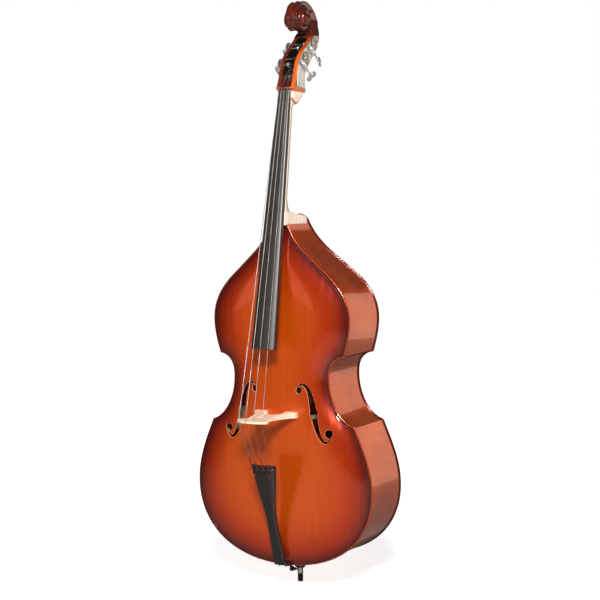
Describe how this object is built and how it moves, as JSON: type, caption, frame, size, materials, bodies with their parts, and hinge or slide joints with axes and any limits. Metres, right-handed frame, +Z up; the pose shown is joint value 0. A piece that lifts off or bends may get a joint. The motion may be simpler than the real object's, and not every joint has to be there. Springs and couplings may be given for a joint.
{
  "type": "double bass",
  "caption": "Three-quarter double bass with hollow arched body, flat bent back, f-holes, geared tuners, tailpiece, bridge and a sliding endpin.",
  "frame": {"origin": "centre of the rubber tip, where the retracted endpin meets the floor", "axes": "+Z up along the endpin, +X to the right of someone facing the front, +Y towards the back plate"},
  "size_m": [0.65, 0.4587, 1.9232],
  "materials": {
    "varnished_spruce": "high gloss amber to brown sunburst varnish over fine straight grain",
    "varnished_back": "high gloss red-brown varnish",
    "varnished_ribs": "high gloss red-brown varnish",
    "dark_inlay": "dark line under gloss varnish",
    "inner_softwood": "bare sawn softwood",
    "neck_maple": "pale satin maple, pegbox and scroll varnished dark red-brown",
    "blackened_board": "black stained hardwood, satin",
    "bridge_maple": "bare pale maple",
    "black_tailpiece": "black stained hardwood, satin",
    "tail_cable": "dull steel cable",
    "string_steel": "flat wound steel",
    "silk_wrap": "dark thread wrapping",
    "tuner_nickel": "nickel plate with light brushing",
    "gear_brass": "nickel plated brass",
    "screw_steel": "bright steel",
    "endpin_black": "black, semi gloss",
    "endpin_chrome": "polished",
    "endpin_rubber": "matt black"
  },
  "bodies": {
    "root": {"top_plate": "varnished_spruce", "back_plate": "varnished_back", "rib_lower_left": "varnished_ribs", "rib_lower_right": "varnished_ribs", "rib_waist_left": "varnished_ribs", "rib_waist_right": "varnished_ribs", "rib_upper_left": "varnished_ribs", "rib_upper_right": "varnished_ribs", "purfling": "dark_inlay", "linings_front": "inner_softwood", "linings_back": "inner_softwood", "corner_blocks": "inner_softwood", "neck_block": "inner_softwood", "end_block": "inner_softwood", "back_braces": "inner_softwood", "bass_bar": "inner_softwood", "sound_post": "inner_softwood", "neck": "neck_maple", "fingerboard": "blackened_board", "nut": "blackened_board", "saddle": "blackened_board", "tailpiece_fret": "blackened_board", "bridge": "bridge_maple", "tailpiece": "black_tailpiece", "tail_wire": "tail_cable", "string_e": "string_steel", "string_a": "string_steel", "string_d": "string_steel", "string_g": "string_steel", "string_silks": "silk_wrap", "tuner_plate_left": "tuner_nickel", "tuner_plate_right": "tuner_nickel", "worm_brackets": "tuner_nickel", "tuner_plate_screws": "screw_steel", "endpin_collar": "endpin_black", "endpin_ferrule": "endpin_chrome"},
    "endpin": {"endpin_rod": "endpin_chrome", "endpin_tip": "endpin_rubber"},
    "thumbscrew": {"endpin_thumbscrew": "endpin_black"},
    "e_roller": {"roller_e": "tuner_nickel", "gear_e": "gear_brass", "gear_screw_e": "screw_steel"},
    "e_worm": {"worm_e": "tuner_nickel", "key_e": "tuner_nickel"},
    "a_roller": {"roller_a": "tuner_nickel", "gear_a": "gear_brass", "gear_screw_a": "screw_steel"},
    "a_worm": {"worm_a": "tuner_nickel", "key_a": "tuner_nickel"},
    "d_roller": {"roller_d": "tuner_nickel", "gear_d": "gear_brass", "gear_screw_d": "screw_steel"},
    "d_worm": {"worm_d": "tuner_nickel", "key_d": "tuner_nickel"},
    "g_roller": {"roller_g": "tuner_nickel", "gear_g": "gear_brass", "gear_screw_g": "screw_steel"},
    "g_worm": {"worm_g": "tuner_nickel", "key_g": "tuner_nickel"}
  },
  "joints": [
    {"name": "endpin_slide", "type": "slide", "parent": "root", "child": "endpin", "axis": [0, 0, -1], "range_m": [0, 0.25]},
    {"name": "thumbscrew_turn", "type": "hinge", "parent": "root", "child": "thumbscrew", "pos_m": [0, 0, 0.039], "axis": [-1, 0, 0], "range_deg": [0, 720]},
    {"name": "e_roller_turn", "type": "hinge", "parent": "root", "child": "e_roller", "pos_m": [0, 0.0045, 1.711], "axis": [1, 0, 0], "continuous": true},
    {"name": "e_key_turn", "type": "hinge", "parent": "root", "child": "e_worm", "pos_m": [-0.0435, -0.0107, 1.68929], "axis": [0, 0.8192, -0.5736], "continuous": true},
    {"name": "a_roller_turn", "type": "hinge", "parent": "root", "child": "a_roller", "pos_m": [0, 0.0575, 1.7685], "axis": [1, 0, 0], "continuous": true},
    {"name": "a_key_turn", "type": "hinge", "parent": "root", "child": "a_worm", "pos_m": [-0.0435, 0.0423, 1.74679], "axis": [0, 0.8192, -0.5736], "continuous": true},
    {"name": "d_roller_turn", "type": "hinge", "parent": "root", "child": "d_roller", "pos_m": [0, 0.0705, 1.782], "axis": [1, 0, 0], "continuous": true},
    {"name": "d_key_turn", "type": "hinge", "parent": "root", "child": "d_worm", "pos_m": [0.0435, 0.0553, 1.76029], "axis": [0, 0.8192, -0.5736], "continuous": true},
    {"name": "g_roller_turn", "type": "hinge", "parent": "root", "child": "g_roller", "pos_m": [0, 0.0145, 1.73], "axis": [1, 0, 0], "continuous": true},
    {"name": "g_key_turn", "type": "hinge", "parent": "root", "child": "g_worm", "pos_m": [0.0435, -0.0007, 1.70829], "axis": [0, 0.8192, -0.5736], "continuous": true}
  ],
  "couplings": [
    {"joint": "e_roller_turn", "follows": "e_key_turn", "ratio": -0.05},
    {"joint": "a_roller_turn", "follows": "a_key_turn", "ratio": -0.05},
    {"joint": "d_roller_turn", "follows": "d_key_turn", "ratio": -0.05},
    {"joint": "g_roller_turn", "follows": "g_key_turn", "ratio": -0.05}
  ]
}
